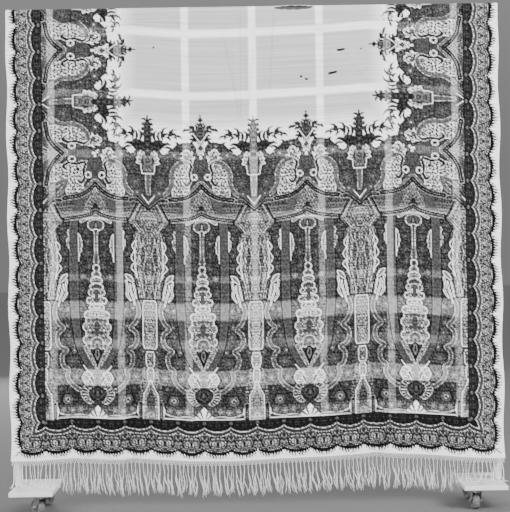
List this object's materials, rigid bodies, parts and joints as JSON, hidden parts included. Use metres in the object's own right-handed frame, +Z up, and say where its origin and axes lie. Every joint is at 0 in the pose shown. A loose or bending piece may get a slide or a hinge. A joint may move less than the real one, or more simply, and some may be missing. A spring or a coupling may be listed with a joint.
{
  "type": "shawl on rolling stand",
  "caption": "Long printed shawl with a pale middle, deep patterned borders and knotted fringe, hung over the rail of a wheeled display stand.",
  "frame": {"origin": "on the floor under the middle of the stand", "axes": "+X along the rail to the right of the side that is looked at, +Y away from that side, +Z up"},
  "size_m": [1.658, 0.36, 1.686],
  "materials": {
    "printed_wool": "matte printed wool and silk gauze",
    "fringe_yarn": "dull twisted yarn",
    "stand_paint": "pale painted wood",
    "caster_steel": "dull plated steel",
    "caster_tyre": "worn hard rubber"
  },
  "bodies": {
    "stand_and_shawl": {"shawl_front": "printed_wool", "shawl_over_rail": "printed_wool", "shawl_back": "printed_wool", "fringe_front": "fringe_yarn", "fringe_back": "fringe_yarn", "rail": "stand_paint", "upright_left": "stand_paint", "upright_right": "stand_paint", "foot_board_left": "stand_paint", "foot_board_right": "stand_paint", "caster_front_left_plate": "caster_steel", "caster_front_right_plate": "caster_steel", "caster_back_left_plate": "caster_steel", "caster_back_right_plate": "caster_steel"},
    "fork_front_left": {"caster_front_left_fork": "caster_steel"},
    "fork_front_right": {"caster_front_right_fork": "caster_steel"},
    "fork_back_left": {"caster_back_left_fork": "caster_steel"},
    "fork_back_right": {"caster_back_right_fork": "caster_steel"},
    "wheel_front_left": {"caster_front_left_wheel": "caster_tyre"},
    "wheel_front_right": {"caster_front_right_wheel": "caster_tyre"},
    "wheel_back_left": {"caster_back_left_wheel": "caster_tyre"},
    "wheel_back_right": {"caster_back_right_wheel": "caster_tyre"}
  },
  "joints": [
    {"name": "swivel_front_left", "type": "hinge", "parent": "stand_and_shawl", "child": "fork_front_left", "pos_m": [-0.716, -0.14, 0.06], "axis": [0, 0, 1], "continuous": true},
    {"name": "swivel_front_right", "type": "hinge", "parent": "stand_and_shawl", "child": "fork_front_right", "pos_m": [0.716, -0.14, 0.06], "axis": [0, 0, 1], "continuous": true},
    {"name": "swivel_back_left", "type": "hinge", "parent": "stand_and_shawl", "child": "fork_back_left", "pos_m": [-0.716, 0.14, 0.06], "axis": [0, 0, 1], "continuous": true},
    {"name": "swivel_back_right", "type": "hinge", "parent": "stand_and_shawl", "child": "fork_back_right", "pos_m": [0.716, 0.14, 0.06], "axis": [0, 0, 1], "continuous": true},
    {"name": "roll_front_left", "type": "hinge", "parent": "fork_front_left", "child": "wheel_front_left", "pos_m": [-0.72757, -0.12621, 0.028], "axis": [0.766, 0.6428, 0], "continuous": true},
    {"name": "roll_front_right", "type": "hinge", "parent": "fork_front_right", "child": "wheel_front_right", "pos_m": [0.71474, -0.12204, 0.028], "axis": [0.9976, 0.0698, 0], "continuous": true},
    {"name": "roll_back_left", "type": "hinge", "parent": "fork_back_left", "child": "wheel_back_left", "pos_m": [-0.72361, 0.12369, 0.028], "axis": [-0.9063, 0.4226, 0], "continuous": true},
    {"name": "roll_back_right", "type": "hinge", "parent": "fork_back_right", "child": "wheel_back_right", "pos_m": [0.72156, 0.12288, 0.028], "axis": [-0.9511, -0.309, 0], "continuous": true}
  ]
}
